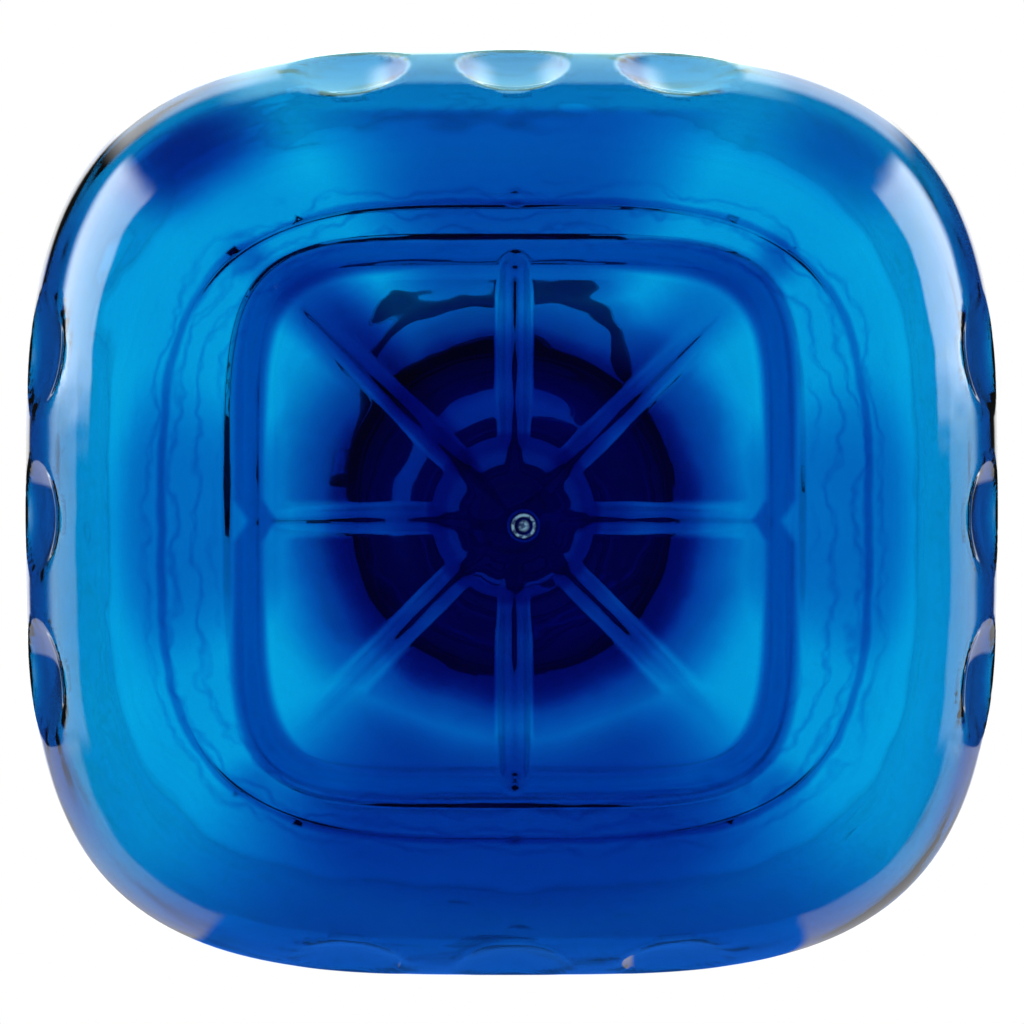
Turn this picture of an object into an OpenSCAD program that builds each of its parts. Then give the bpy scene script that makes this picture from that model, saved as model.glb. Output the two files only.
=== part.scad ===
// Swing top bottle: a blow-moulded, squarish clear bottle with a ribbed push-up base,
// closed by a stopper on a wire bail that a wire lever pulls down over its centre.
// Millimetres. +Z is up, the bottle stands on Z = 0 with its axis on Z, and the lever
// hangs down the front, towards -Y.

/* [Bottle body] */
// Width of the body, left to right
body_w = 100; // [88:1:112]
// Depth of the body, front to back
body_d = 95.2; // [84:0.2:108]
// Squareness of the body's section: 2 is an ellipse, more is squarer
body_squareness = 3.4; // [2.8:0.1:4.5]
// Height at which the straight sides end and the shoulder starts
side_top = 150; // [110:5:200]
// Height of the heel's curve, from the stand ring to the straight sides
heel_h = 34; // [28:1:40]
// Height of the shoulder
shoulder_h = 62; // [50:1:75]
// Wall of the blown sides
side_wall = 0.7; // [0.5:0.1:1]
// Radius at which the shoulder's dome runs into the neck's cone
flare_r = 29; // [24:0.5:32]
// Wall where the shoulder meets the neck
shoulder_wall = 2.2; // [1.4:0.1:2.3]

/* [Push-up base] */
// Outer width of the land that the bottle stands on
land_w = 69.8; // [66:0.2:74]
// Outer depth of the land
land_d = 63; // [60:0.2:67]
// Width and depth of the push-up inside the land
punt_w = 49.8; // [46:0.2:52]
// Squareness of the push-up's edge
punt_squareness = 6.5; // [5:0.5:10]
// Height of the push-up's dome above the table
punt_h = 9.8; // [7:0.1:12]
// How far the dome falls from its centre to its edge
dome_drop = 6.2; // [5:0.1:6.6]
// Wall at the middle of the base, where the moulding is thickest
base_wall = 2.4; // [1.8:0.1:3.2]
// Wall under the land
land_wall = 1; // [0.9:0.1:1.5]
// Radius of the flat boss at the middle of the base
boss_r = 7; // [5.5:0.1:8]
// How far the boss and the ribs stand out of the dome
rib_h = 0.65; // [0.5:0.05:1.2]
// Radius of a rib's round crest
rib_r = 1.8; // [1.6:0.1:2.4]
// Radius of the moulding gate's nub
gate_r = 1.4; // [1:0.1:2]
// Height of the gate's nub
gate_h = 0.8; // [0.4:0.1:1.2]

/* [Scallops] */
// Width of each scallop in the heel
scallop_w = 11.8; // [9:0.2:13]
// Distance from one scallop's middle to the next
scallop_pitch = 16.4; // [15:0.2:18]
// Depth of a scallop
scallop_depth = 1.5; // [0.8:0.1:2]

/* [Neck] */
// Radius of the mouth's bore
bore_r = 9.4; // [8.6:0.1:9.8]
// Outer radius of the lip
lip_r = 13.4; // [13:0.1:13.8]
// Outer radius of the neck where it leaves the shoulder
neck_r = 14; // [13.6:0.1:14.6]
// Length of the neck from the shoulder to the mouth
neck_h = 50; // [46:1:60]
// Radius of the groove that holds the neck band
groove_r = 11.8; // [11.4:0.1:12]
// Height of that groove
groove_h = 5; // [4.6:0.1:5.4]
// Height from the groove's middle to the mouth
groove_depth = 17.5; // [16:0.5:19]
// Radius of the ledge below the groove
ledge_r = 14.2; // [13.6:0.1:14.4]

/* [Neck band] */
// Thickness of the band's strip
band_t = 0.9; // [0.7:0.1:1.1]
// Width of the band's strip
band_h = 4.2; // [3.6:0.1:4.4]
// Gap between the band's two ends
band_gap = 3; // [2:0.5:4]
// Length of the ends that the screw pulls together
tab_l = 7.5; // [6.5:0.5:9]
// Radius of the clamping screw
screw_r = 1.5; // [1.2:0.1:1.6]

/* [Wires] */
// Radius of the lever's and the bail's wire
wire_r = 1.1; // [0.9:0.1:1.2]
// Distance between the lever's wires, middle to middle
lever_w = 32.4; // [32:0.2:33.4]
// Distance between the bail's wires, middle to middle
bail_w = 37.8; // [37.6:0.2:39]
// Distance from the lever's pivot to the eye that pulls the bail
throw = 8; // [7.5:0.1:8.5]
// How far the closed eye lies behind dead centre, in degrees
over_centre = 10; // [6:1:12]
// Length of the lever from its eyes to its thumb bar
lever_l = 36; // [33:0.5:37]
// Angle of the closed lever below level, in degrees
lever_slope = 62; // [57:1:64]

/* [Stopper] */
// Radius of the stopper's flange
stopper_r = 13.2; // [12.8:0.1:13.6]
// Height of the stopper above its gasket
stopper_h = 12.6; // [11.5:0.1:14]
// Height of the cross hole above the gasket
cross_h = 6.2; // [5.6:0.1:6.8]
// Thickness of the gasket
gasket_t = 3.5; // [3:0.1:4]
// Outer radius of the gasket
gasket_r = 12.4; // [12:0.1:12.8]

/* [Hidden] */

$fn = 96;

// Colours
blue_clear = [0.0, 0.38, 0.75, 0.6];
steel = [0.75, 0.76, 0.78];
porcelain = [0.94, 0.93, 0.9];
rubber_red = [0.75, 0.2, 0.1];

// Clearances
seat_gap = 0.2;    // between the gasket and the mouth, with the bottle closed
pivot_gap = 0.1;  // round a wire in its hole
eye_gap = 0.1;     // round the bail's ends in the lever's eyes
band_fit = 0.05;  // between the band and the neck
nose_gap = 0.7;   // between the gasket's locating step and the bore

// Heights that follow from the sizes above
shoulder_top = side_top + shoulder_h;
mouth_z = shoulder_top + neck_h;
pivot_z = mouth_z - groove_depth;
seat_z = mouth_z + seat_gap + gasket_t;
cross_z = seat_z + cross_h;

// The lever's eye in the closed bottle
eye_y = throw * sin(over_centre);
eye_z = pivot_z - throw * cos(over_centre);

// ---------------------------------------------------------------- the blown shell

// Columns of the shell's grid: a quarter holds one side's scallop columns, five at the
// corner, and the next side's.
side_cols = 8;
corner_cols = 5;
quarter_cols = 2 * side_cols + corner_cols + 1;
cols = 4 * quarter_cols;

boss_z = punt_h - rib_h;
stub_h = 3;        // straight stub of the shell inside the moulded neck
foot_w = 3.4;      // width of the push-up's steep edge
land_curl = 0.4;   // rise of the land's edges
flat_share = [0.4, 0.72];  // where across the land the flat band starts and ends

function mix(a, b, t) = a + (b - a) * t;
function clamp(x, lo, hi) = min(max(x, lo), hi);
function smooth(from, to, x) = let (t = clamp((x - from) / (to - from), 0, 1)) t * t * (3 - 2 * t);

// Radius of a squared ellipse at an angle from +X
function section_r(a, b, n, th) =
    pow(pow(abs(cos(th)) / a, n) + pow(abs(sin(th)) / b, n), -1 / n);

// A station is [half width, half depth, squareness, height, wall, heel angle]

// The dome from its boss, at t = 0, to the push-up's edge, at t = 1
function dome_station(t) =
    let (half = mix(boss_r + 0.9, punt_w / 2, t))
    [half, half, mix(2, punt_squareness, pow(t, 3)), punt_h - dome_drop * t * t,
        mix(base_wall, land_wall, smooth(0, 0.5, t)), 0];

// The push-up's steep edge, an S that leaves the dome and meets the land at their own slopes
foot_from = -2 * dome_drop / (punt_w / 2 - boss_r - 0.9) * foot_w;
foot_to = -2 * land_curl / flat_share[0] / (land_w / 2 - punt_w / 2 - foot_w) * foot_w;
function foot_station(t) =
    let (half = punt_w / 2 + foot_w * t)
    [half, half, punt_squareness - 1.5 * t, mix(punt_h - dome_drop, land_curl, smooth(0, 1, t))
        + foot_from * t * pow(1 - t, 2) + foot_to * t * t * (t - 1), 1.2, 0];

// The land from the push-up's foot, at t = 0, to the heel, at t = 1
function land_station(t) = [
    mix(punt_w / 2 + foot_w, land_w / 2, t), mix(punt_w / 2 + foot_w, land_d / 2, t),
    mix(punt_squareness - 1.5, body_squareness, t),
    t < flat_share[0] ? land_curl * pow(1 - t / flat_share[0], 2)
        : t > flat_share[1] ? land_curl * pow((t - flat_share[1]) / (1 - flat_share[1]), 2) : 0,
    land_wall, 0];

// The heel, a quarter ellipse that starts at the land (0 degrees) and ends upright (90)
function heel_station(angle) = [
    mix(land_w, body_w, sin(angle)) / 2, mix(land_d, body_d, sin(angle)) / 2, body_squareness,
    land_curl + (heel_h - land_curl) * (1 - cos(angle)), mix(land_wall, side_wall, sin(angle)), angle];

// The shoulder from the sides, at t = 0, to the round neck, at t = 1: a dome that falls to the
// middle, blended into the neck's cone
dome_share = 0.42;   // where the cone starts
dome_reach = 0.62;   // where the dome alone would close
blend_r = 20;
function shoulder_r(half, t) =
    let (dome = half * (1 - pow(t / dome_reach, 2.2)), blend = blend_r * t * (1 - t),
        cone = mix(flare_r, neck_r, clamp((t - dome_share) / (1 - dome_share), 0, 1)))
    (dome + cone + norm([dome - cone, blend])) / 2;
function shoulder_station(t) = [
    shoulder_r(body_w / 2, t), shoulder_r(body_d / 2, t), mix(body_squareness, 2, pow(min(2 * t, 1), 1.3)),
    side_top + shoulder_h * t, mix(side_wall, shoulder_wall, smooth(0.9, 1, t)), 90];

function stub_station(t) = [neck_r, neck_r, 2, shoulder_top + stub_h * t, shoulder_wall, 90];

// Moves a station inwards by its wall, square to the line through its neighbours
function inset(before, s, after) =
    let (da = after[0] - before[0], dz = after[3] - before[3], l = norm([da, dz]))
    [s[0] - s[4] * dz / l, s[1] - s[4] * dz / l, s[2], s[3] + s[4] * da / l, 0, s[5]];

function inset_all(s) = [for (k = [0:len(s) - 1]) inset(s[max(k - 1, 0)], s[k], s[min(k + 1, len(s) - 1)])];

outer_stations = concat(
    [for (t = [0:0.2:1]) dome_station(t)],
    [for (t = [0.33, 0.66]) foot_station(t)],
    [for (t = [0, 0.2, flat_share[0], flat_share[1], 1]) land_station(t)],
    [for (angle = [15, 30, 45, 51, 57, 63, 69, 75, 80, 85, 90]) heel_station(angle)],
    [for (t = [0, 0.12, 0.22, 0.3, 0.38, 0.45, 0.52, 0.6, 0.72, 0.86, 1]) shoulder_station(t)],
    [stub_station(1)]);

inner_stations = inset_all(concat(
    [for (t = [0, 0.5, 1]) dome_station(t)],
    [for (t = [0, 0.5, 1]) land_station(t)],
    [for (angle = [22, 38, 47, 55, 63, 71, 79, 90]) heel_station(angle)],
    [for (t = [0, 0.2, 0.34, 0.46, 0.6, 0.8, 1]) shoulder_station(t)],
    [stub_station(1)]));

// Angle of column i where the columns follow the eight ribs
function rib_angle(i, r) =
    let (in_eighth = i % (quarter_cols / 2), eighth = floor(i / (quarter_cols / 2)),
        crest = asin(min(0.6 * rib_r / r, 0.2)), foot = asin(min(rib_r / r, 0.3)),
        free = quarter_cols / 2 - 4)
    45 * eighth + (in_eighth == 0 ? 0
        : in_eighth == 1 ? crest
        : in_eighth == quarter_cols / 2 - 1 ? 45 - crest
        : mix(foot, 45 - foot, (in_eighth - 2) / free));

// Angle of column i where the columns follow the scallops of a side
function side_step(j) = j <= 2 ? j * scallop_w / 4
    : j <= 4 ? mix(scallop_w / 2, scallop_pitch - scallop_w / 2, (j - 2) / 2)
    : scallop_pitch + (j - 6) * scallop_w / 4;
function side_angle(i, a, b) =
    let (q = floor(i / quarter_cols), j = i % quarter_cols, end = side_step(side_cols),
        flip = q % 2 == 1, near = flip ? b : a, far = flip ? a : b)
    90 * q + (j <= side_cols ? atan2(side_step(j), near)
        : j > side_cols + corner_cols ? 90 - atan2(side_step(quarter_cols - j), far)
        : mix(atan2(end, near), 90 - atan2(end, far), (j - side_cols) / (corner_cols + 1)));

// Height of the crest of the rib that points along `toward`, at a distance along it, where the
// shell without ribs is at z. The ribs to the front and back run straight out on the land. The
// rest follow the dome and fade out, the diagonal ones in the push-up's corners.
function rib_reach(toward) = punt_w / 2 + (toward % 180 == 90 ? 3.8 : toward % 90 == 0 ? 1 : 5.5);
function crest_z(toward, along, z) =
    let (reach = rib_reach(toward), t = clamp((along - boss_r) / (reach - boss_r), 0, 1))
    toward % 180 == 90 ? mix(boss_z, land_curl / 2, pow(t, 1.8)) : z - rib_h * (1 - pow(t, 2.5));

// Height of the base's outside at a point, where the shell without ribs is at z
function ribbed_z(r, th, z) =
    let (toward = 45 * round(th / 45), across = abs(r * sin(th - toward)), along = r * cos(th - toward))
    across > rib_r * 1.001 ? z
        : min(z, crest_z(toward, along, z) + rib_r - sqrt(max(rib_r * rib_r - across * across, 0)));

// Depth of the scallops at a heel angle and a distance along a side
scallop_from = 45;
scallop_to = 80;
function scallop(angle, c) =
    let (v = (angle - (scallop_from + scallop_to) / 2) / ((scallop_to - scallop_from) / 2),
        s = (abs(c) > scallop_pitch / 2 ? abs(c) - scallop_pitch : c) / (scallop_w / 2))
    scallop_depth * max(1 - s * s - v * v, 0);

// One ring of the shell. Its columns follow the ribs in the push-up and the scallops outside it.
function ring(s) =
    let (on_land = clamp((s[0] - punt_w / 2 - foot_w) / (land_w / 2 - punt_w / 2 - foot_w), 0, 1),
        a = min(s[0], body_w / 2), above = s[5] >= 90)
    [for (i = [0:cols - 1])
        let (th = mix(rib_angle(i, s[0]),
                side_angle(i, above ? body_w / 2 : max(a, land_w / 2),
                    above ? body_d / 2 : max(s[1], land_d / 2)),
                above ? 1 : on_land),
            flat_r = section_r(s[0], s[1], s[2], th),
            on_x = abs(cos(th)) * s[1] > abs(sin(th)) * s[0],
            r = flat_r - (s[5] > 0 && !above ? scallop(s[5], flat_r * (on_x ? sin(th) : cos(th))) : 0),
            z = s[5] > 0 || above ? s[3] : s[3] + ribbed_z(r, th, base_z(s)) - base_z(s))
        [r * cos(th), r * sin(th), z]];

// Height of the outside below a station, which the ribs are measured against
function base_z(s) = s[4] > 0 ? s[3] : s[3] - base_wall;

function circle_ring(r, z) = [for (i = [0:cols - 1])
    let (th = rib_angle(i, r)) [r * cos(th), r * sin(th), z]];

// The gate and boss, from the middle outwards
gate_rings = [for (c = [[gate_r, boss_z - gate_h], [gate_r + 0.25, boss_z], [boss_r, boss_z]])
    circle_ring(c[0], c[1])];

module shell() {
    rings = concat(gate_rings, [for (s = outer_stations) ring(s)],
        [for (k = [len(inner_stations) - 1:-1:0]) ring(inner_stations[k])],
        [circle_ring(boss_r * 0.8, punt_h + base_wall)]);
    count = len(rings);
    points = concat([[0, 0, boss_z - gate_h]], [for (r = rings) each r], [[0, 0, punt_h + base_wall]]);
    faces = concat(
        [for (i = [0:cols - 1]) [0, 1 + i, 1 + (i + 1) % cols]],
        [for (k = [0:count - 2], i = [0:cols - 1])
            let (p = 1 + k * cols, q = p + cols, j = (i + 1) % cols)
            each [[p + i, q + i, q + j], [p + i, q + j, p + j]]],
        [for (i = [0:cols - 1])
            let (p = 1 + (count - 1) * cols)
            [p + i, len(points) - 1, p + (i + 1) % cols]]);
    polyhedron(points, faces, convexity = 10);
}

// ---------------------------------------------------------------- the moulded neck

function arc(cx, cy, r, from, to, steps = 6) =
    [for (k = [0:steps]) let (th = mix(from, to, k / steps)) [cx + r * cos(th), cy + r * sin(th)]];

root_z = shoulder_top + stub_h / 2;
root_step = 0.25;   // the neck's foot stands this far proud of the blown shell
ledge_h = 2.2;
lip_round = 2.4;
mouth_round = 0.7;

module neck() {
    groove_bottom = pivot_z - groove_h / 2;
    groove_top = pivot_z + groove_h / 2;
    ledge_top = groove_bottom - 1.6;
    ledge_mid = ledge_top - ledge_h / 2;
    tube_r = ledge_r - 1.2;
    rotate_extrude() polygon(concat(
        [[neck_r - shoulder_wall - 0.2, root_z], [neck_r + root_step, root_z],
            [neck_r + root_step, root_z + 1]],
        [[tube_r, ledge_top - ledge_h - 1]],
        arc(ledge_r - ledge_h / 2, ledge_mid, ledge_h / 2, -60, 60),
        [[groove_r + 0.8, groove_bottom - 0.6], [groove_r, groove_bottom], [groove_r, groove_top],
            [groove_r + 0.8, groove_top + 0.6]],
        arc(lip_r - 1, groove_top + 2, 1, -50, 0),
        arc(lip_r - lip_round, mouth_z - lip_round, lip_round, 0, 90, 8),
        arc(bore_r + mouth_round, mouth_z - mouth_round, mouth_round, 90, 180),
        [[bore_r, ledge_top - 2], [bore_r + 1, ledge_top - 8]]));
}

module bottle() {
    color(blue_clear) union() {
        shell();
        neck();
    }
}

// ---------------------------------------------------------------- the neck band and its screw

band_in = groove_r + band_fit;
band_out = band_in + band_t;
lug_r = groove_h / 2 - 0.2;
lug_out = lever_w / 2 - 2.3;
lug_floor = 0.35;   // metal left behind each lug's hole
tab_y = band_out + tab_l / 2 + 0.6;
tab_in = band_gap / 2;

module mirrored() {
    children();
    mirror([1, 0, 0]) children();
}

module neck_band() {
    color(steel) difference() {
        union() {
            translate([0, 0, pivot_z - band_h / 2]) cylinder(h = band_h, r = band_out);
            mirrored() {
                translate([0, 0, pivot_z]) rotate([0, 90, 0]) cylinder(h = lug_out, r = lug_r);
                translate([tab_in, 0, pivot_z - band_h / 2]) cube([band_t, band_out + tab_l, band_h]);
            }
        }
        translate([0, 0, pivot_z - lug_r - 1]) cylinder(h = 2 * lug_r + 2, r = band_in);
        translate([-tab_in, 0, pivot_z - lug_r - 1]) cube([band_gap, band_out + tab_l + 1, 2 * lug_r + 2]);
        mirrored() translate([band_in + lug_floor, 0, pivot_z])
            rotate([0, 90, 0]) cylinder(h = lug_out, r = wire_r + pivot_gap);
        translate([-lug_out, tab_y, pivot_z]) rotate([0, 90, 0])
            cylinder(h = 2 * lug_out, r = screw_r + pivot_gap);
    }
}

head_h = 1.8;
nut_h = 2.4;
tip_l = 0.8;

module band_screw() {
    head_x = -tab_in - band_t;
    color(steel) translate([head_x, tab_y, pivot_z]) rotate([0, 90, 0]) difference() {
        union() {
            translate([0, 0, -head_h]) cylinder(h = head_h, r = 1.8 * screw_r);
            cylinder(h = band_gap + 2 * band_t + nut_h + tip_l, r = screw_r);
        }
        // The driver's slot
        translate([-0.4, -2 * screw_r, -head_h - 0.1]) cube([0.8, 4 * screw_r, 0.9]);
    }
}

module band_nut() {
    color(steel) translate([tab_in + band_t, tab_y, pivot_z]) rotate([0, 90, 0]) difference() {
        cylinder(h = nut_h, r = 2 * screw_r, $fn = 6);
        translate([0, 0, -1]) cylinder(h = nut_h + 2, r = screw_r + band_fit);
    }
}

// ---------------------------------------------------------------- the two wires

// Wire run off a bender: each step is [length fed, roll, bend angle, bend radius]. It starts
// along +Z and bends towards its own +X, which the roll turns first. The wire swells a hair
// in its bends, and each straight runs on into them.
bend_swell = 0.03;
lap = 0.25;
module bent_wire(steps, i = 0) {
    if (i < len(steps)) {
        feed = steps[i][0];
        before = i > 0 ? lap : 0;
        after = len(steps[i]) > 1 ? lap : 0;
        translate([0, 0, -before]) cylinder(h = feed + before + after, r = wire_r);
        if (len(steps[i]) > 1) {
            bend = steps[i][2];
            bend_r = steps[i][3];
            translate([0, 0, feed]) rotate([0, 0, steps[i][1]]) {
                translate([bend_r, 0, 0]) rotate([90, 0, 180])
                    rotate_extrude(angle = bend) translate([bend_r, 0]) circle(r = wire_r + bend_swell);
                translate([bend_r, 0, 0]) rotate([0, bend, 0]) translate([-bend_r, 0, 0])
                    bent_wire(steps, i + 1);
            }
        }
    }
}

eye_wire_r = wire_r + 0.06;             // the eye is pressed round, a hair thicker
eye_r = wire_r + eye_gap + eye_wire_r;  // middle line of the lever's eye
eye_offset = 0.6 * eye_r;               // the leg leaves the eye this far off its middle
pin_bend = 2;
pin_in = band_in + lug_floor + 0.2;
kick = 24;        // angle by which the lever's end stands out for the thumb
kick_bend = 6;
kick_l = 4;
thumb_bend = 9;

module lever_wire() {
    leg_start = sqrt(eye_r * eye_r - eye_offset * eye_offset);
    leg_l = lever_l - leg_start - kick_bend * sin(kick) - kick_l - thumb_bend;
    color(steel) {
        mirrored() {
            // The pin in the band's lug, and the arm down to the eye
            translate([0, 0, pivot_z]) rotate([over_centre, 0, 0]) rotate([0, 90, 0])
                translate([0, 0, pin_in])
                bent_wire([[lever_w / 2 - pin_bend - pin_in, 0, 90, pin_bend], [throw - eye_r - pin_bend]]);
            // The eye
            translate([lever_w / 2, eye_y, eye_z]) rotate([0, 90, 0])
                rotate_extrude() translate([eye_r, 0]) circle(r = eye_wire_r);
        }
        // From one eye down the front, across the thumb bar and back up to the other eye
        translate([lever_w / 2, eye_y, eye_z]) rotate([lever_slope - 90, 0, 0])
            translate([0, -eye_offset, -leg_start]) rotate([0, 180, 0])
                bent_wire([[leg_l, -90, kick, kick_bend], [kick_l, 90, 90, thumb_bend],
                    [lever_w - 2 * thumb_bend, 0, 90, thumb_bend], [kick_l, -90, kick, kick_bend], [leg_l]]);
    }
}

bail_bend = 3;
hook_bend = 1.6;
hook_in = 14.9;   // how near the axis the hooks' ends come

// From one hook up the side, across through the stopper and down to the other hook
module bail_wire() {
    bail_l = norm([eye_y, cross_z - eye_z]) - bail_bend - hook_bend;
    hook_l = bail_w / 2 - hook_bend - hook_in;
    color(steel) translate([0, eye_y, eye_z]) rotate([atan2(eye_y, cross_z - eye_z), 0, 0])
        rotate([0, 90, 0]) rotate([0, 0, 180]) translate([0, 0, hook_in])
            bent_wire([[hook_l, 0, 90, hook_bend], [bail_l, 0, 90, bail_bend],
                [bail_w - 2 * bail_bend, 0, 90, bail_bend], [bail_l, 0, 90, hook_bend], [hook_l]]);
}

// ---------------------------------------------------------------- the stopper and its gasket

nose_r = 6.9;
nose_neck_r = 5.8;
nose_h = 3.6;       // below the gasket
flange_h = 2.6;
cap_r = 11.4;       // the cap above the flange
cap_round = 5;
gasket_step = 0.7;  // how far the gasket's middle reaches into the mouth

module stopper() {
    color(porcelain) translate([0, 0, seat_z]) difference() {
        rotate_extrude() polygon(concat(
            [[0, -gasket_t - nose_h - gasket_step], [nose_r - 1.6, -gasket_t - nose_h - gasket_step]],
            arc(nose_r - 1, -gasket_t - nose_h, 1, -45, 60),
            [[nose_neck_r, -gasket_t - gasket_step], [nose_neck_r, 0]],
            arc(stopper_r - 0.8, 0.8, 0.8, -90, 0),
            arc(stopper_r - 1, flange_h, 1, 0, 80),
            [[cap_r, flange_h + 1.6]],
            arc(cap_r - cap_round, stopper_h - cap_round, cap_round, 0, 80, 8),
            [[0, stopper_h]]));
        translate([-stopper_r - 1, 0, cross_h]) rotate([0, 90, 0])
            cylinder(h = 2 * stopper_r + 2, r = wire_r + pivot_gap);
    }
}

module gasket() {
    step_r = bore_r - nose_gap;
    color(rubber_red) translate([0, 0, seat_z]) rotate_extrude() polygon(concat(
        [[nose_neck_r + band_fit, -gasket_t - gasket_step + band_fit],
            [step_r - 0.6, -gasket_t - gasket_step + band_fit], [step_r, -gasket_t]],
        arc(gasket_r - 1.2, -gasket_t + 1.2, 1.2, -90, 0),
        arc(gasket_r - 0.9, -0.9, 0.9, 0, 90),
        [[nose_neck_r + band_fit, 0]]));
}

bottle();
neck_band();
band_screw();
band_nut();
lever_wire();
bail_wire();
stopper();
gasket();
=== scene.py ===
"""Swing top bottle: a clear blue blown PET bottle with a ribbed push-up base, a porcelain
stopper with a rubber gasket, and drawn steel wires on a strip steel neck band.

Lengths are in millimetres and become metres where a mesh is made. The camera looks up at the
base; the floor can be seen from above only."""

import math

import bmesh
import bpy
from mathutils import Matrix, Vector, noise


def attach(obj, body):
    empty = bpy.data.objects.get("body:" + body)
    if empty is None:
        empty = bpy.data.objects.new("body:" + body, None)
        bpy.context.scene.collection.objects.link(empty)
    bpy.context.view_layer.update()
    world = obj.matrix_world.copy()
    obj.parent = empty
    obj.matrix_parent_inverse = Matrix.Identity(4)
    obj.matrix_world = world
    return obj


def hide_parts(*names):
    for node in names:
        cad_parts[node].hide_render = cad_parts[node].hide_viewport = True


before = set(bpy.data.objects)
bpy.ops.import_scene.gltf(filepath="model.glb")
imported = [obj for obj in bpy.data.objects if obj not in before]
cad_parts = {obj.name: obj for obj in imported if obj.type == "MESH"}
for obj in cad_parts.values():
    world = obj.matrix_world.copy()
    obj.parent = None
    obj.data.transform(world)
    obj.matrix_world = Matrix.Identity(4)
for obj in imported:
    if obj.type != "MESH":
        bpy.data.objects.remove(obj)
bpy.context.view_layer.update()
MM = 0.001

# ---------------------------------------------------------------- sizes of the bottle

BODY_W, BODY_D, BODY_SQUARENESS = 100, 95.2, 3.4
SIDE_TOP, HEEL_H, SHOULDER_H = 150, 34, 62
SHOULDER_TOP = SIDE_TOP + SHOULDER_H
FLARE_R, DOME_SHARE, DOME_REACH = 29, 0.42, 0.62
SIDE_WALL, LAND_WALL, SHOULDER_WALL, BASE_WALL = 0.7, 1, 2.2, 2.4
LAND_W, LAND_D, LAND_CURL = 69.8, 63, 0.4
FLAT_FROM, FLAT_TO = 0.4, 0.72
PUNT_W, PUNT_SQUARENESS, PUNT_H, DOME_DROP, PUNT_FOOT = 49.8, 6.5, 9.8, 6.2, 3.4
BOSS_R, RIB_H, RIB_R = 7, 0.65, 1.8
GATE_R, GATE_H = 1.4, 0.8
GATE_OFF = (0.95, 0.7)  # how far the gate lies off the axis
SCALLOP_W, SCALLOP_PITCH, SCALLOP_DEPTH = 11.8, 16.4, 1.5
SCALLOP_FROM, SCALLOP_TO = 45, 80
NECK_R, NECK_H, BORE_R, LIP_R, LIP_ROUND, MOUTH_ROUND = 14, 50, 9.4, 13.4, 2.4, 0.7
MOUTH_Z = SHOULDER_TOP + NECK_H
PIVOT_Z = MOUTH_Z - 17.5
GROOVE_R, GROOVE_H, LEDGE_R, LEDGE_H = 11.8, 5, 14.2, 2.2

COLUMNS = 360
EIGHTH = COLUMNS // 8


def mix(a, b, t):
    return a + (b - a) * t


def clamp(x, low, high):
    return min(max(x, low), high)


def smooth(start, end, x):
    t = clamp((x - start) / (end - start), 0, 1)
    return t * t * (3 - 2 * t)


def steps(count, end=True):
    """Evenly spaced shares from 0 to 1, with or without the last."""
    return [k / count for k in range(count + (1 if end else 0))]


# ---------------------------------------------------------------- the bottle's surface

def section_r(a, b, n, th):
    """Radius of a squared ellipse at an angle from +X."""
    return (abs(math.cos(th) / a) ** n + abs(math.sin(th) / b) ** n) ** (-1 / n)


# A station is (half width, half depth, squareness, height, wall, heel angle in degrees)

def dome_station(t):
    half = mix(BOSS_R + 0.9, PUNT_W / 2, t)
    return (half, half, mix(2, PUNT_SQUARENESS, t ** 3), PUNT_H - DOME_DROP * t * t,
            mix(BASE_WALL, LAND_WALL, smooth(0, 0.5, t)), 0)


def foot_station(t):
    """The push-up's steep edge, an S that leaves the dome and meets the land at their own slopes."""
    half = mix(PUNT_W / 2, PUNT_W / 2 + PUNT_FOOT, t)
    start = -2 * DOME_DROP / (PUNT_W / 2 - BOSS_R - 0.9) * PUNT_FOOT
    end = -2 * LAND_CURL / FLAT_FROM / (LAND_W / 2 - PUNT_W / 2 - PUNT_FOOT) * PUNT_FOOT
    z = (mix(PUNT_H - DOME_DROP, LAND_CURL, t * t * (3 - 2 * t)) + start * t * (1 - t) ** 2
         + end * t * t * (t - 1))
    return (half, half, mix(PUNT_SQUARENESS, PUNT_SQUARENESS - 1.5, t), z, 1.2, 0)


def land_station(t):
    inner = PUNT_W / 2 + PUNT_FOOT
    curl = 0
    if t < FLAT_FROM:
        curl = LAND_CURL * (1 - t / FLAT_FROM) ** 2
    elif t > FLAT_TO:
        curl = LAND_CURL * ((t - FLAT_TO) / (1 - FLAT_TO)) ** 2
    return (mix(inner, LAND_W / 2, t), mix(inner, LAND_D / 2, t),
            mix(PUNT_SQUARENESS - 1.5, BODY_SQUARENESS, t), curl, LAND_WALL, 0)


def heel_station(angle):
    out = math.sin(math.radians(angle))
    return (mix(LAND_W, BODY_W, out) / 2, mix(LAND_D, BODY_D, out) / 2, BODY_SQUARENESS,
            LAND_CURL + (HEEL_H - LAND_CURL) * (1 - math.cos(math.radians(angle))),
            mix(LAND_WALL, SIDE_WALL, out), angle)


def shoulder_r(half, t):
    """A dome that falls to the middle, blended into the neck's cone."""
    dome = half * (1 - (t / DOME_REACH) ** 2.2)
    cone = mix(FLARE_R, NECK_R, clamp((t - DOME_SHARE) / (1 - DOME_SHARE), 0, 1))
    blend = 20 * t * (1 - t)
    return (dome + cone + math.sqrt((dome - cone) ** 2 + blend ** 2)) / 2


def shoulder_station(t):
    return (shoulder_r(BODY_W / 2, t), shoulder_r(BODY_D / 2, t),
            mix(BODY_SQUARENESS, 2, min(t / 0.5, 1) ** 1.3),
            SIDE_TOP + SHOULDER_H * t, mix(SIDE_WALL, SHOULDER_WALL, smooth(0.9, 1, t)), 90)


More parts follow.
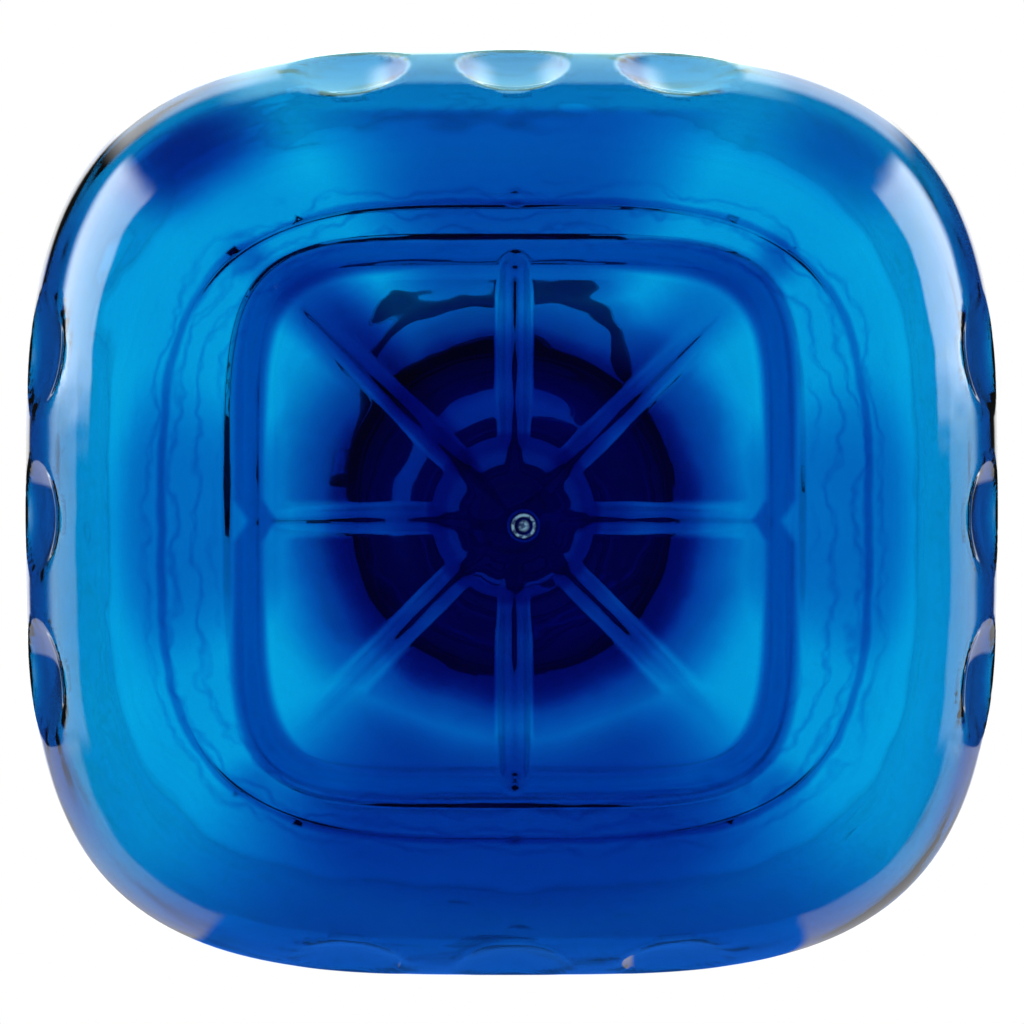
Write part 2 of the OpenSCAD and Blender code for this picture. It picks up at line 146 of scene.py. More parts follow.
def inset(stations):
    """Each station moved inwards by its wall: upwards on the base, and elsewhere square to the
    line through its neighbours. The wall thins where the heel steepens, as blowing stretches it."""
    moved = []
    for k, s in enumerate(stations):
        before, after = stations[max(k - 1, 0)], stations[min(k + 1, len(stations) - 1)]
        da, dz = after[0] - before[0], after[3] - before[3]
        out, rise = da / math.hypot(da, dz), dz / math.hypot(da, dz)
        if s[5] == 0:
            out, rise = 1, 0
        wall = s[4] if s[5] >= 90 else max(s[4] * out, SIDE_WALL)
        moved.append((s[0] - wall * rise, s[1] - wall * rise, s[2], s[3] + wall * out, (rise, out), s[5]))
    return moved


def side_angle(i):
    """Angle of column i outside the base, where the columns gather on the sides' middles."""
    even = math.tau * i / COLUMNS
    return even - 0.35 * math.sin(4 * even) / 4


def uneven(x, y, z):
    """What the blowing adds to the wall in a place: slow waves."""
    place = Vector((x, y, z))
    waves = 0.11 * noise.noise(place / 12) + 0.05 * noise.noise(place / 5)
    return waves * smooth(18, 30, math.hypot(x, y)) * (1 - smooth(8, 30, z))


def rib_angle(i, r):
    """Angle of column i where the columns gather on the eight ribs."""
    eighth, j = divmod(i, EIGHTH)
    foot = math.asin(min(1.15 * RIB_R / max(r, 0.1), 0.3))
    near = 7
    if j < near:
        turn = foot * j / near
    elif j > EIGHTH - near:
        turn = math.pi / 4 - foot * (EIGHTH - j) / near
    else:
        turn = mix(foot, math.pi / 4 - foot, (j - near) / (EIGHTH - 2 * near))
    return math.pi / 4 * eighth + turn


def crest_z(toward, along, z):
    """Height of the crest of the rib that points along `toward` eighths of a turn, where the shell
    without ribs is at z. Two ribs run straight out on the land; the rest follow the dome."""
    reach = PUNT_W / 2 + (3.8 if toward % 4 == 2 else 1 if toward % 2 == 0 else 5.5)
    t = clamp((along - BOSS_R) / (reach - BOSS_R), 0, 1)
    if toward % 4 == 2:
        return mix(PUNT_H - RIB_H, LAND_CURL / 2, t ** 1.8)
    return z - RIB_H * (1 - t ** 2.5)


def ribbed_z(r, th, z):
    toward = round(th / (math.pi / 4))
    off = th - toward * math.pi / 4
    across, along = abs(r * math.sin(off)), r * math.cos(off)
    if across > RIB_R:
        return z
    return min(z, crest_z(toward, along, z) + RIB_R - math.sqrt(RIB_R ** 2 - across ** 2))


def scallop(angle, c):
    v = (angle - (SCALLOP_FROM + SCALLOP_TO) / 2) / ((SCALLOP_TO - SCALLOP_FROM) / 2)
    s = (abs(c) - SCALLOP_PITCH if abs(c) > SCALLOP_PITCH / 2 else abs(c)) / (SCALLOP_W / 2)
    return SCALLOP_DEPTH * max(1 - s * s - v * v, 0)


def ring(s, inside=False):
    """The ring of one station, as a function from column to place."""
    half_w, half_d, squareness, z0, inward, angle = s
    on_land = clamp((half_w - PUNT_W / 2 - PUNT_FOOT) / (LAND_W / 2 - PUNT_W / 2 - PUNT_FOOT), 0, 1)

    def place(i):
        th = mix(rib_angle(i, half_w), side_angle(i), on_land)
        r = section_r(half_w, half_d, squareness, th)
        z = z0
        if 0 < angle < 90:
            on_x = abs(math.cos(th)) * half_d > abs(math.sin(th)) * half_w
            r -= scallop(angle, r * (math.sin(th) if on_x else math.cos(th)))
        elif angle == 0 and not inside:
            z = ribbed_z(r, th, z0)
        if inside:
            more = uneven(r * math.cos(th), r * math.sin(th), z)
            r, z = r - more * inward[0], z + more * inward[1]
        return r * math.cos(th), r * math.sin(th), z
    return place


def round_ring(r, z, off=(0, 0)):
    def place(i):
        th = rib_angle(i, r) if z < PUNT_H else side_angle(i)
        return off[0] + r * math.cos(th), off[1] + r * math.sin(th), z
    return place


def arc(cx, cz, r, start, end, count=6):
    turns = [math.radians(mix(start, end, t)) for t in steps(count)]
    return [(cx + r * math.cos(a), cz + r * math.sin(a)) for a in turns]


def neck_profile():
    """(radius, height) up the outside of the neck, over the lip and down the bore."""
    groove_bottom, groove_top = PIVOT_Z - GROOVE_H / 2, PIVOT_Z + GROOVE_H / 2
    ledge_top = groove_bottom - 1.6
    tube_r = LEDGE_R - 1.2
    return ([(NECK_R, SHOULDER_TOP + 1.5), (tube_r, ledge_top - LEDGE_H - 1)]
            + arc(LEDGE_R - LEDGE_H / 2, ledge_top - LEDGE_H / 2, LEDGE_H / 2, -60, 60)
            + [(GROOVE_R + 0.8, groove_bottom - 0.6), (GROOVE_R, groove_bottom),
               (GROOVE_R, groove_top), (GROOVE_R + 0.8, groove_top + 0.6)]
            + arc(LIP_R - 1, groove_top + 2, 1, -50, 0)
            + arc(LIP_R - LIP_ROUND, MOUTH_Z - LIP_ROUND, LIP_ROUND, 0, 90, 8)
            + arc(BORE_R + MOUTH_ROUND, MOUTH_Z - MOUTH_ROUND, MOUTH_ROUND, 90, 180)
            + [(BORE_R, ledge_top - 2), (BORE_R + 1, ledge_top - 8)])


def bottle_rings():
    heel_angles = ([SCALLOP_FROM * t for t in steps(12)[1:]]
                   + [mix(SCALLOP_FROM, SCALLOP_TO, t) for t in steps(24)[1:]] + [82, 85, 87.5, 90])
    stations = ([dome_station(t) for t in steps(20)] + [foot_station(t) for t in steps(8)[1:]]
                + [land_station(t) for t in steps(14)[1:]] + [heel_station(a) for a in heel_angles]
                + [shoulder_station(t) for t in steps(30)[1:]])
    return ([round_ring(GATE_R, PUNT_H - RIB_H - GATE_H, GATE_OFF),
             round_ring(GATE_R + 0.25, PUNT_H - RIB_H, GATE_OFF),
             round_ring(BOSS_R * 0.6, PUNT_H - RIB_H), round_ring(BOSS_R, PUNT_H - RIB_H)]
            + [ring(s) for s in stations] + [round_ring(r, z) for r, z in neck_profile()]
            + [ring(s, inside=True) for s in reversed(inset(stations))]
            + [round_ring(BOSS_R * 0.8, PUNT_H + BASE_WALL)])


def mesh_object(name, bm, material, body, smooth_angle=None):
    mesh = bpy.data.meshes.new(name)
    bm.to_mesh(mesh)
    bm.free()
    for polygon in mesh.polygons:
        polygon.use_smooth = True
    if smooth_angle:
        mesh.set_sharp_from_angle(angle=math.radians(smooth_angle))
    mesh.materials.append(material)
    piece = bpy.data.objects.new(name, mesh)
    bpy.context.scene.collection.objects.link(piece)
    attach(piece, body)
    return piece


def loft(bm, rings):
    """Draws a circle's edges out from ring to ring, and closes both ends at their middles."""
    column = bm.verts.layers.int.new("column")
    verts = bmesh.ops.create_circle(bm, segments=COLUMNS, radius=1)["verts"]
    for i, v in enumerate(verts):
        v[column] = i
    edges = bm.edges[:]
    for k, place in enumerate(rings):
        if k:
            made = bmesh.ops.extrude_edge_only(bm, edges=edges)["geom"]
            verts = [g for g in made if isinstance(g, bmesh.types.BMVert)]
            edges = [g for g in made if isinstance(g, bmesh.types.BMEdge) and g.is_boundary]
        for v in verts:
            v.co = Vector(place(v[column])) * MM
    ends = [e for e in bm.edges if e.is_boundary]
    bmesh.ops.holes_fill(bm, edges=ends, sides=0)
    caps = [f for f in bm.faces if len(f.verts) > 4]
    bmesh.ops.poke(bm, faces=caps)
    bmesh.ops.recalc_face_normals(bm, faces=bm.faces)


# ---------------------------------------------------------------- tools for the materials

WHITE = (1, 1, 1, 1)


def linear(hex_colour):
    """An sRGB hex colour as linear red, green, blue and alpha."""
    values = [int(hex_colour[k:k + 2], 16) / 255 for k in (0, 2, 4)]
    return tuple(v / 12.92 if v < 0.04045 else ((v + 0.055) / 1.055) ** 2.4 for v in values) + (1,)


MATH, RAMP = "ShaderNodeMath", "ShaderNodeMapRange"
PLUS, MINUS, TIMES, OVER, TIMES_PLUS, POWER, MOST, SIZE, SINE, PINGPONG, ARCTAN2, EXPONENT = [
    {"operation": name} for name in (
        "ADD", "SUBTRACT", "MULTIPLY", "DIVIDE", "MULTIPLY_ADD", "POWER", "MAXIMUM", "ABSOLUTE", "SINE",
        "PINGPONG", "ARCTAN2", "EXPONENT")]
SOFT = {"interpolation_type": "SMOOTHSTEP"}  # a ramp's inputs are value, from, to, first result, last result
COLOURS = {"data_type": "RGBA"}


def add(tree, kind, settings, *values, **inputs):
    """Adds a node with its settings. Its inputs take values, nodes or sockets, in order or by name
    or number."""
    node = tree.nodes.new(kind)
    for key, value in settings.items():
        setattr(node, key, value)
    named = {int(key[1:]) if key[1:].isdigit() else key.replace("_", " "): inputs[key] for key in inputs}
    for name, value in [*enumerate(values), *named.items()]:
        if isinstance(value, bpy.types.Node):
            value = value.outputs[0]
        if isinstance(value, bpy.types.NodeSocket):
            tree.links.new(value, node.inputs[name])
        else:
            node.inputs[name].default_value = value
    return node


def new_material(name):
    material = bpy.data.materials.new(name)
    material.use_nodes = True
    tree = material.node_tree
    tree.nodes.clear()
    return material, tree, tree.nodes.new("ShaderNodeOutputMaterial")


def between(tree, value, low, high, soft):
    """1 between two values and 0 outside them."""
    return add(tree, MATH, TIMES, add(tree, RAMP, SOFT, value, low - soft, low + soft),
               add(tree, RAMP, SOFT, value, high - soft, high + soft, 1.0, 0.0))


def squared(tree, x, y, power):
    """Radius of a place in a squared circle's terms."""
    wide = add(tree, MATH, POWER, add(tree, MATH, SIZE, x), power)
    deep = add(tree, MATH, POWER, add(tree, MATH, SIZE, y), power)
    return add(tree, MATH, POWER, add(tree, MATH, PLUS, wide, deep), 1 / power)


# ---------------------------------------------------------------- the resin's depth of colour

# Blowing leaves the wall uneven, and the base's sides carry painted shade. Each depth is the millimetres of
# resin that a place looks thicker by.
MIDDLE_DEPTHS = ((0, 1.8), (12, 2.2), (14.5, 5.5), (16.5, 7), (18.2, 4.9), (19.5, 2.6), (22, 1.6), (24, 0.6),
                 (26, 0), (30, 0))  # (radius, depth)
FULL_DEPTH = 8  # stands for white while the middle's depths are read from a colour ramp
BOSS_EDGE_DEPTH, RIB_WIDE, RIB_THINNER = 1.8, (1.4, 2.2), -0.5
# painted shade: how much deeper the tint on the base's sides is at the back, front and flanks
BACK_SHADE_DEPTH, FRONT_SHADE_DEPTH, FLANK_SHADE_DEPTH = 3.1, 2.0, 1.1
FOOT_DEPTH, FOOT_SQUARENESS, FOOT_CUSP = 2.3, 5.5, 1.3
LAND_EDGE_DEPTH, FLOW_DEPTH, FLOW_LINES = 1.1, 0.55, 100.0
CORNER_DEPTH, CORNER_AT = 1.4, 26.0
UPRIGHT_DEPTH, FOLD_DEPTHS = 1.6, (3.5, 1.2)
# the painted shade on the sides fades out over these heights too
DEPTH_FADES = (24, 38)  # heights over which the wall turns even


def middle_depth(tree, x, y, r, drift):
    """The thick middle of the base by radius, thinner on the ribs and thicker where the boss ends."""
    last = MIDDLE_DEPTHS[-1][0]
    radius = add(tree, MATH, TIMES_PLUS, drift, 3.0, add(tree, MATH, MINUS, r, 1.5))
    shades = add(tree, "ShaderNodeValToRGB", {}, add(tree, MATH, OVER, radius, last))
    shades.color_ramp.interpolation = "B_SPLINE"
    stops = shades.color_ramp.elements
    while len(stops) < len(MIDDLE_DEPTHS):
        stops.new(0.5)
    for stop, (at, depth) in zip(stops, MIDDLE_DEPTHS):
        stop.position = at / last
        stop.color = (depth / FULL_DEPTH, depth / FULL_DEPTH, depth / FULL_DEPTH, 1)
    depth = add(tree, MATH, TIMES, shades, FULL_DEPTH)
    turn = add(tree, MATH, PLUS, add(tree, MATH, ARCTAN2, y, x), math.pi)
    off_rib = add(tree, MATH, SINE, add(tree, MATH, PINGPONG, turn, math.pi / 8))
    off_rib = add(tree, MATH, TIMES, off_rib, r)
    rib = add(tree, MATH, TIMES, add(tree, RAMP, SOFT, off_rib, *RIB_WIDE, 1.0, 0.0),
              between(tree, r, 12, 29, 2))
    depth = add(tree, MATH, TIMES, depth, add(tree, MATH, TIMES_PLUS, rib, RIB_THINNER, 1.0))
    boss_edge = between(tree, r, BOSS_R - 0.2, BOSS_R + 1.6, 0.5)
    return add(tree, MATH, TIMES_PLUS, boss_edge, BOSS_EDGE_DEPTH, depth)


def side_shade_depth(tree, y, r, back, across):
    """Painted shade out to the heel, as a deeper tint: most at the back, then at the front, least left and
    right.
    """
    behind = add(tree, MATH, TIMES, add(tree, RAMP, SOFT, back, 0.62, 0.93, 0.0, BACK_SHADE_DEPTH),
                 add(tree, RAMP, SOFT, r, 36, 42, 1.0, 0.75))
    front = add(tree, MATH, TIMES, add(tree, RAMP, SOFT, back, -0.99, -0.86, FRONT_SHADE_DEPTH, 0.0),
                add(tree, RAMP, SOFT, y, -41, -40.3, 0.3, 1.0))
    flanks = add(tree, MATH, TIMES, add(tree, RAMP, SOFT, across, 0.9, 0.995, 0.0, FLANK_SHADE_DEPTH),
                 add(tree, RAMP, SOFT, r, 37, 41, 1.0, 0.1))
    sides = add(tree, MATH, PLUS, add(tree, MATH, PLUS, behind, front), flanks)
    return add(tree, MATH, TIMES, sides, add(tree, RAMP, SOFT, r, 18, 26))


def resin_and_shade_depth(tree, x, y, z, r, drift):
    """How much thicker each place looks: the middle, sides and foot of the base, the land's edge with
    the flow lines beside it, the foot's corners, and two places of the heel. On the sides the deeper tint is
    painted shade."""
    back = add(tree, MATH, OVER, y, r)
    across = add(tree, MATH, SIZE, add(tree, MATH, OVER, x, r))
    # painted shade on the base's sides
    sides = side_shade_depth(tree, y, r, back, across)
    cusp = add(tree, MATH, MOST, add(tree, MATH, TIMES_PLUS, add(tree, MATH, SIZE, y), -0.6, FOOT_CUSP), 0.0)
    foot = between(tree, add(tree, MATH, PLUS, squared(tree, x, y, FOOT_SQUARENESS), cusp), 25, 28.1, 0.6)
    foot = add(tree, MATH, TIMES, foot, FOOT_DEPTH)
    depth = add(tree, MATH, MOST, middle_depth(tree, x, y, r, drift), add(tree, MATH, MOST, sides, foot))

    edge = squared(tree, add(tree, MATH, OVER, x, LAND_W / 2), add(tree, MATH, OVER, y, LAND_D / 2),
                   BODY_SQUARENESS)
    wavy = add(tree, MATH, TIMES_PLUS, drift, 0.05, -0.025)
    line = between(tree, add(tree, MATH, PLUS, edge, wavy), 0.99, 1.012, 0.008)
    depth = add(tree, MATH, TIMES_PLUS, line, LAND_EDGE_DEPTH, depth)
    flow = add(tree, MATH, TIMES_PLUS, edge, FLOW_LINES, add(tree, MATH, TIMES, drift, 22.0))
    flow = add(tree, MATH, SINE, flow)
    flow = add(tree, MATH, POWER, add(tree, MATH, MOST, flow, 0.0), 4.0)
    flow = add(tree, MATH, TIMES, flow, between(tree, edge, 0.86, 1.06, 0.04))
    depth = add(tree, MATH, TIMES_PLUS, flow, FLOW_DEPTH, depth)

    corner = squared(tree, add(tree, MATH, MINUS, add(tree, MATH, SIZE, x), CORNER_AT),
                     add(tree, MATH, MINUS, add(tree, MATH, SIZE, y), CORNER_AT), 2)
    corner = add(tree, MATH, TIMES_PLUS, drift, 5.0, corner)
    smudge = add(tree, MATH, TIMES, add(tree, RAMP, SOFT, corner, 2.5, 6.0, CORNER_DEPTH, 0.0),
                 add(tree, RAMP, SOFT, y, -10, 10, 1.0, 0.5))
    depth = add(tree, MATH, PLUS, depth, smudge)

    upright = add(tree, MATH, TIMES, between(tree, z, 14, 26, 3), add(tree, RAMP, SOFT, across, 0.75, 0.9))
    depth = add(tree, MATH, TIMES_PLUS, upright, UPRIGHT_DEPTH, depth)
    fold = add(tree, MATH, TIMES, between(tree, back, -0.82, -0.67, 0.06), between(tree, z, 4, 13, 3))
    depth = add(tree, MATH, TIMES_PLUS, fold, add(tree, RAMP, SOFT, x, -5, 5, *FOLD_DEPTHS), depth)
    return add(tree, MATH, TIMES, depth, add(tree, RAMP, SOFT, z, *DEPTH_FADES, 1.0, 0.0))


# ---------------------------------------------------------------- materials

RESIN_COLOUR, RESIN_DENSITY = "00ECF8", 4500
# the gate's colour is painted light: the gate gives off a faint glow of its own
HAZE_COLOUR, GATE_GLOW_COLOUR, SHADOW_COLOUR = "0327BC", "6F95AE", "89DDF3"
BOSS_HAZE, BASE_HAZE, RING_HAZE = 0.24, 0.17, -0.09


def hazy_share(tree, r, base, drift):
    """How hazy the resin is: most in the boss, but for a clearer ring round the gate."""
    boss = add(tree, MATH, PLUS, add(tree, RAMP, SOFT, r, 6.3, 7.3, BOSS_HAZE, BASE_HAZE),
               add(tree, MATH, TIMES, between(tree, r, 3.1, 3.6, 0.2), RING_HAZE))
    share = add(tree, MATH, TIMES, add(tree, RAMP, SOFT, r, 12, 18, 1.0, 0.0), boss)
    return add(tree, MATH, TIMES, add(tree, MATH, TIMES, share, base),
               add(tree, MATH, TIMES_PLUS, drift, 1.8, 0.1))


def gate_glow_share(tree, place, x, y, base):
    """Where the gate glows as painted light, for the white crystals where the hot resin was cut: a spot and a
    ring round it.
    """
    from_gate = squared(tree, add(tree, MATH, MINUS, x, GATE_OFF[0]),
                        add(tree, MATH, MINUS, y, GATE_OFF[1]), 2)
    crystals = add(tree, "ShaderNodeTexNoise", {}, Vector=place, Scale=2200, Detail=2).outputs["Fac"]
    glow = add(tree, MATH, MOST, add(tree, RAMP, SOFT, from_gate, 0.2, 0.7, 1.0, 0.0),
               between(tree, from_gate, 0.95, 1.2, 0.1))
    glow = add(tree, MATH, TIMES, glow, add(tree, RAMP, SOFT, crystals, 0.4, 0.6, 0.15, 1.0))
    return add(tree, MATH, TIMES, glow, base)


def blown_pet():
    """Blow-moulded PET, tinted blue: a glossy clear wall that darkens to navy where it is looked
    at edge on or is thick, with painted shade deepening the tint on the base's sides; hazy at the
    base's thick middle, with a whitish spot at the gate painted as a faint glow."""
    material, tree, out = new_material("pet_blown_clear_blue")
    place = add(tree, "ShaderNodeTexCoord", {}).outputs["Object"]
    split = add(tree, "ShaderNodeSeparateXYZ", {}, place)
    x, y, z = [add(tree, MATH, TIMES, split.outputs[axis], 1 / MM) for axis in "XYZ"]
    r = squared(tree, x, y, 2)
    drift = add(tree, "ShaderNodeTexNoise", {}, Vector=place, Scale=110, Detail=3, Roughness=0.6)
    drift = drift.outputs["Fac"]
    # the depth includes painted shade on the base's sides
    depth = resin_and_shade_depth(tree, x, y, z, r, drift)
    resin = linear(RESIN_COLOUR)
    # each millimetre of extra depth takes what a millimetre of the wall takes
    tint = add(tree, "ShaderNodeCombineColor", {}, *[
        add(tree, MATH, EXPONENT, add(tree, MATH, TIMES, depth, (passed - 1) * RESIN_DENSITY * MM))
        for passed in resin[:3]])
    # the blown skin waves over about 11 mm, and on the base over about 6 mm too
    ripple = add(tree, "ShaderNodeTexNoise", {}, Vector=place, Scale=90, Detail=2, Roughness=0.5)
    grain = add(tree, "ShaderNodeTexNoise", {}, Vector=place, Scale=170, Detail=1, Roughness=0.5)
    swell = add(tree, MATH, TIMES_PLUS, grain.outputs["Fac"], add(tree, RAMP, SOFT, z, 8, 14, 2.0, 0.0),
                ripple.outputs["Fac"])
    bump = add(tree, "ShaderNodeBump", {}, Height=swell, Strength=0.25, Distance=0.0002)
    clear = add(tree, "ShaderNodeBsdfPrincipled", {}, Base_Color=tint, Transmission_Weight=1, IOR=1.575,
                Roughness=0.012, Normal=bump)
    base = add(tree, RAMP, SOFT, z, 12, 16, 1.0, 0.0)
    haze = add(tree, "ShaderNodeBsdfTranslucent", {}, linear(HAZE_COLOUR))
    hazy = add(tree, "ShaderNodeMixShader", {}, hazy_share(tree, r, base, drift), clear, haze)
    # painted light: a faint glow of the gate's own, where its white crystals are
    glow = add(tree, "ShaderNodeEmission", {}, linear(GATE_GLOW_COLOUR))
    with_glow = add(tree, "ShaderNodeMixShader", {}, gate_glow_share(tree, place, x, y, base), hazy, glow)
    in_shadow = add(tree, "ShaderNodeLightPath", {}).outputs["Is Shadow Ray"]
    through = add(tree, "ShaderNodeBsdfTransparent", {}, linear(SHADOW_COLOUR))
    surface = add(tree, "ShaderNodeMixShader", {}, in_shadow, with_glow, through)
    volume = add(tree, "ShaderNodeVolumeAbsorption", {}, resin, RESIN_DENSITY)
    tree.links.new(surface.outputs[0], out.inputs["Surface"])
    tree.links.new(volume.outputs[0], out.inputs["Volume"])
    return material


def glazed_porcelain():
    """Glazed porcelain, slip cast and fired: white with a trace of warmth under a hard gloss."""
    material, tree, out = new_material("porcelain_glazed_white")
    place = add(tree, "ShaderNodeTexCoord", {}).outputs["Object"]
    ripple = add(tree, "ShaderNodeTexNoise", {}, Vector=place, Scale=220, Detail=3).outputs["Fac"]
    bump = add(tree, "ShaderNodeBump", {}, Height=ripple, Strength=0.15, Distance=0.0001)
    glaze = add(tree, "ShaderNodeBsdfPrincipled", {}, Base_Color=linear("F1EEE6"), Roughness=0.22, IOR=1.52,
                Coat_Weight=0.6, Coat_Roughness=0.04, Normal=bump)
    tree.links.new(glaze.outputs[0], out.inputs["Surface"])
    return material


def moulded_rubber():
    """Compression moulded rubber, brick red: matte, with a faint bloom."""
    material, tree, out = new_material("rubber_moulded_red")
    place = add(tree, "ShaderNodeTexCoord", {}).outputs["Object"]
    bloom = add(tree, "ShaderNodeTexNoise", {}, Vector=place, Scale=400, Detail=4).outputs["Fac"]
    colour = add(tree, "ShaderNodeMix", COLOURS, bloom, i6=linear("A8381F"), i7=linear("C4472B")).outputs[2]
    bump = add(tree, "ShaderNodeBump", {}, Height=bloom, Strength=0.3, Distance=0.0001)
    rubber = add(tree, "ShaderNodeBsdfPrincipled", {}, Base_Color=colour, Roughness=0.62, Normal=bump)
    tree.links.new(rubber.outputs[0], out.inputs["Surface"])
    return material


def steel(name, colour, roughness, streak):
    """Steel with fine lines from the die, the rolls or the bath, as a soft grey sheen. streak is
    their spacing in millimetres, coarser than the real one so that they show."""
    material, tree, out = new_material(name)
    place = add(tree, "ShaderNodeTexCoord", {}).outputs["Object"]
    lines = add(tree, "ShaderNodeTexNoise", {}, Vector=place, Scale=1 / (streak * MM), Detail=2)
    lines = lines.outputs["Fac"]
    spread = add(tree, RAMP, {}, lines, To_Min=roughness * 0.75, To_Max=roughness * 1.3)
    bump = add(tree, "ShaderNodeBump", {}, Height=lines, Strength=0.12, Distance=0.00005)
    metal = add(tree, "ShaderNodeBsdfPrincipled", {}, Base_Color=linear(colour), Metallic=0.4,
                Roughness=spread, Normal=bump)
    tree.links.new(metal.outputs[0], out.inputs["Surface"])
    return material


# ---------------------------------------------------------------- the pieces

def make_bottle():
    bm = bmesh.new()
    loft(bm, bottle_rings())
    bottle = mesh_object("bottle_blown", bm, blown_pet(), "bottle", smooth_angle=50)
    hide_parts("bottle")


def dress(node, material):
    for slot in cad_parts[node].material_slots:
        slot.material = material


make_bottle()
wire = steel("steel_stainless_drawn_wire", "C9CACC", 0.2, 0.4)
strip = steel("steel_stainless_rolled_strip", "BFC1C4", 0.28, 0.3)
zinc = steel("steel_zinc_plated", "D2D4D6", 0.16, 0.5)
for node, material in (("lever_wire", wire), ("bail_wire", wire), ("neck_band", strip),
                       ("band_screw", zinc), ("band_nut", zinc), ("stopper", glazed_porcelain()),
                       ("gasket", moulded_rubber())):
    dress(node, material)


# ---------------------------------------------------------------- studio

# Lights that the bottle mirrors: (height from, to), (turn from, to), softness of the turn, colour.
# Heights are sines above level. Turns are radians from the X axis towards the back, the same left
# and right.
MIRRORED = (((0.47, 0.8), (-0.1, 0.3), 0.06, (0.7, 0.75, 0.75)),
            ((0.27, 0.77), (-0.75, -0.04), 0.06, (3.0, 3.1, 3.2)),
            ((0.63, 2), (0.3, 1.2), 0.02, (0.42, 0.42, 0.44)),
            ((0.74, 2), (-1.7, -1.25), 0.08, (0.45, 1.0, 1.05)),
            ((0.85, 2), (-1.35, -0.75), 0.1, (1.0, 1.05, 1.1)),
            ((0.6, 2), (1.2, 1.7), 0.015, (0, 0.12, 0.6)))
CAP_FROM, CAP_LEVEL, CAP_BACK = 0.965, 1.1, 0.15  # a pale cap overhead, that ends at the back
BACKDROP_FROM, BACKDROP_LEVEL = 0.906, 1.3
ROOM_LEVEL, ROOM_LOW, NIGHT_LEVEL, MATTE_LEVEL = 1.1, 0.7, 0.012, 0.5


def make_world():
    """White to the camera, a pale room to what is seen through clear things and an even grey light
    on matte ones. What is mirrored is dark but for a softbox on each side, a pale cap overhead, a
    dim teal card in front and a blue one at the back."""
    world = bpy.data.worlds.new("studio")
    bpy.context.scene.world = world
    world.use_nodes = True
    tree = world.node_tree
    tree.nodes.clear()
    out = tree.nodes.new("ShaderNodeOutputWorld")
    path = add(tree, "ShaderNodeLightPath", {})
    split = add(tree, "ShaderNodeSeparateXYZ", {}, add(tree, "ShaderNodeTexCoord", {}).outputs["Generated"])
    along, back, height = [split.outputs[axis] for axis in "XYZ"]
    turn = add(tree, MATH, ARCTAN2, back, add(tree, MATH, SIZE, along))
    mirrored = (NIGHT_LEVEL, NIGHT_LEVEL, NIGHT_LEVEL)
    for heights, turns, soft, colour in MIRRORED:
        box = add(tree, MATH, TIMES, between(tree, height, *heights, 0.03), between(tree, turn, *turns, soft))
        mirrored = add(tree, "ShaderNodeVectorMath", TIMES_PLUS, box, colour, mirrored)
    cap = add(tree, RAMP, SOFT, height, CAP_FROM - 0.01, CAP_FROM + 0.01, 0.0, CAP_LEVEL)
    cap = add(tree, MATH, TIMES, cap, add(tree, RAMP, SOFT, back, CAP_BACK - 0.03, CAP_BACK + 0.03, 1.0, 0.0))
    mirrored = add(tree, "ShaderNodeVectorMath", PLUS, mirrored, cap)
    passed = add(tree, MATH, MOST, add(tree, RAMP, SOFT, height, -0.3, 0.3, ROOM_LOW, ROOM_LEVEL), add(
        tree, RAMP, SOFT, height, BACKDROP_FROM - 0.01, BACKDROP_FROM + 0.01, 0.0, BACKDROP_LEVEL))
    seen = (MATTE_LEVEL, MATTE_LEVEL, MATTE_LEVEL, 1)
    for ray, view in (("Is Glossy Ray", mirrored), ("Is Transmission Ray", passed), ("Is Camera Ray", WHITE)):
        seen = add(tree, "ShaderNodeMix", COLOURS, path.outputs[ray], i6=seen, i7=view).outputs[2]
    tree.links.new(add(tree, "ShaderNodeBackground", {}, seen).outputs[0], out.inputs["Surface"])


def stage_plane(name, width, depth, centre, facing, material):
    bm = bmesh.new()
    bmesh.ops.create_grid(bm, x_segments=1, y_segments=1, size=0.5)
    bmesh.ops.scale(bm, vec=(width, depth, 1), verts=bm.verts)
    turn = Vector(facing).to_track_quat("Z", "Y").to_matrix()
    bmesh.ops.rotate(bm, cent=(0, 0, 0), matrix=turn, verts=bm.verts)
    bmesh.ops.translate(bm, vec=centre, verts=bm.verts)
    mesh = bpy.data.meshes.new(name)
    bm.to_mesh(mesh)
    bm.free()
    mesh.materials.append(material)
    plane = bpy.data.objects.new(name, mesh)
    bpy.context.scene.collection.objects.link(plane)


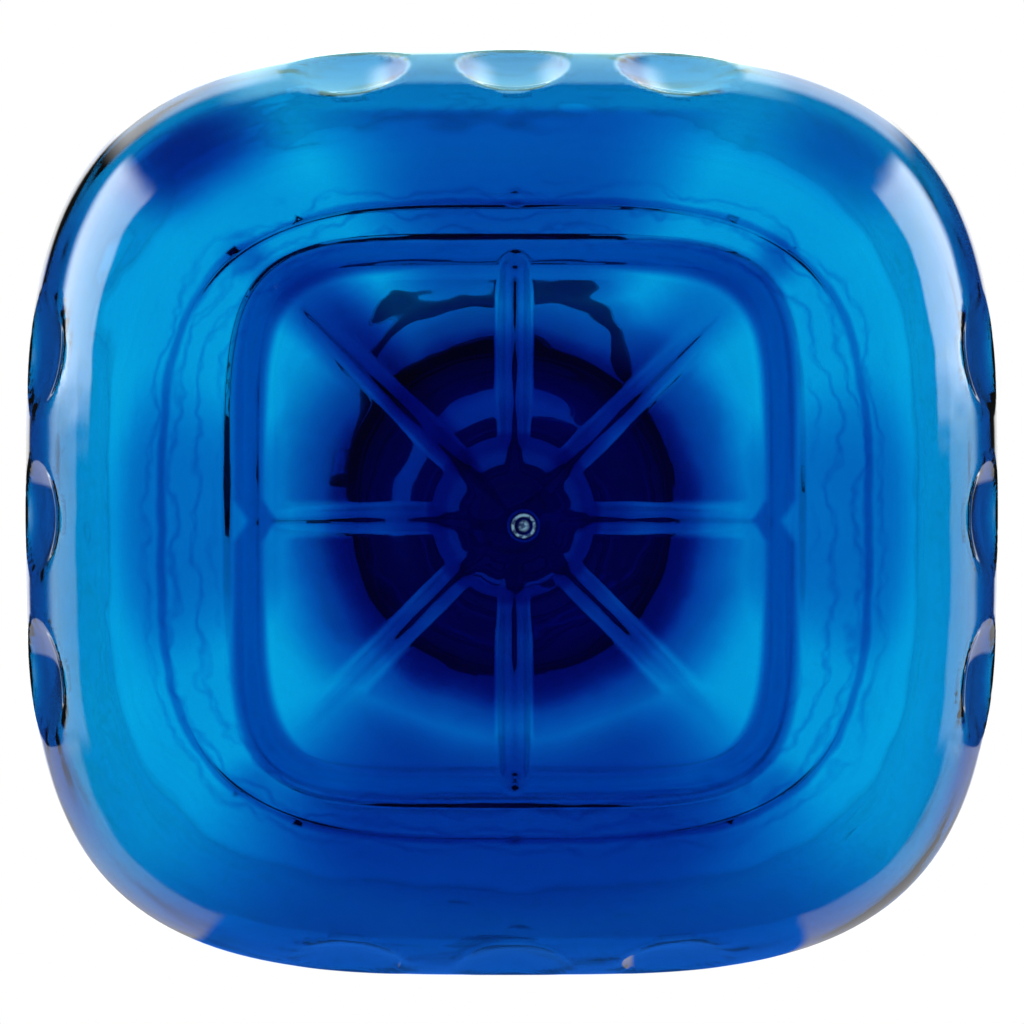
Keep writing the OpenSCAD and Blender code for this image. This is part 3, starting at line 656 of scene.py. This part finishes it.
def floor_paint():
    """Pale matte floor, seen from above by the camera and through clear things."""
    material, tree, out = new_material("floor_matte_pale")
    path = add(tree, "ShaderNodeLightPath", {})
    below = add(tree, "ShaderNodeNewGeometry", {}).outputs["Backfacing"]
    seen = add(tree, MATH, MOST, path.outputs["Is Camera Ray"], path.outputs["Is Transmission Ray"])
    shown = add(tree, MATH, TIMES, seen, add(tree, MATH, MINUS, 1.0, below))
    paint = add(tree, "ShaderNodeBsdfDiffuse", {}, linear("F2F2F0"))
    clear = add(tree, "ShaderNodeBsdfTransparent", {}, WHITE)
    surface = add(tree, "ShaderNodeMixShader", {}, shown, clear, paint)
    tree.links.new(surface.outputs[0], out.inputs["Surface"])
    return material


def area_lamp(name, energy, size, place, target):
    lamp = bpy.data.lights.new(name, "AREA")
    lamp.energy = energy
    lamp.size = size
    holder = bpy.data.objects.new(name, lamp)
    holder.location = place
    holder.visible_glossy = False
    holder.visible_transmission = False
    holder.rotation_euler = (Vector(target) - Vector(place)).to_track_quat("-Z", "Y").to_euler()
    bpy.context.scene.collection.objects.link(holder)


make_world()
stage_plane("floor", 12, 12, (0, 0, -0.00002), (0, 0, 1), floor_paint())
area_lamp("key", 9, 0.8, (-0.6, -0.9, 0.9), (0, 0, 0.15))
area_lamp("fill", 5, 1.0, (0.9, -0.5, 0.7), (0, 0, 0.15))

# ---------------------------------------------------------------- camera, under the base

PICTURE_PX, FOCAL_PX, SENSOR = 1024, 8091, 36
DISTANCE, AIM = 0.8, (-0.3, -0.94, 0)
TILT_X, TILT_Y = math.radians(0.6), math.radians(1.64)
BOUNCES = 32


def make_camera():
    camera = bpy.data.objects.new("camera", bpy.data.cameras.new("camera"))
    camera.data.sensor_width = SENSOR
    camera.data.lens = SENSOR * FOCAL_PX / PICTURE_PX
    camera.data.clip_end = 20
    look = Vector((math.sin(TILT_X), math.sin(TILT_Y), 1)).normalized()
    up = Vector((1, 0, 0)).cross(look).normalized()
    turn = Matrix((look.cross(up), up, -look)).transposed().to_4x4()
    camera.matrix_world = Matrix.Translation(Vector(AIM) * MM - look * DISTANCE) @ turn
    bpy.context.scene.collection.objects.link(camera)
    bpy.context.scene.camera = camera


make_camera()
bpy.context.scene.view_settings.view_transform = "Standard"
cycles = bpy.context.scene.cycles
cycles.max_bounces = cycles.transmission_bounces = cycles.transparent_max_bounces = BOUNCES
